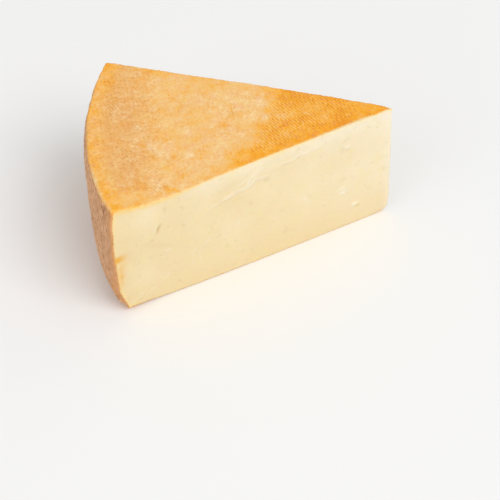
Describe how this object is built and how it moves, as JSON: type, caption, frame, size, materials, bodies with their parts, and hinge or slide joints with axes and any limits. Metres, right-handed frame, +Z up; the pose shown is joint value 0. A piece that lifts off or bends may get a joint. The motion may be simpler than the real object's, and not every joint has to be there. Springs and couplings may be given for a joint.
{
  "type": "cheese wedge",
  "caption": "Wedge cut from a round wheel of washed-rind cheese, with rind on its top, bottom and bulging side and bare paste on the cut faces.",
  "frame": {"origin": "on the face that the wedge rests on, under the middle of its bounding box", "axes": "+Z up; +X along the wedge, from the rind of the curved side towards the point; +Y from the front cut towards the back cut"},
  "size_m": [0.1746, 0.127, 0.0775],
  "materials": {
    "cheese": "semi-soft cheese: cream paste with a soft waxy sheen on the cut faces, and a matt orange rind printed with cloth weave"
  },
  "bodies": {
    "root": {"cheese_wedge": "cheese"}
  },
  "joints": []
}
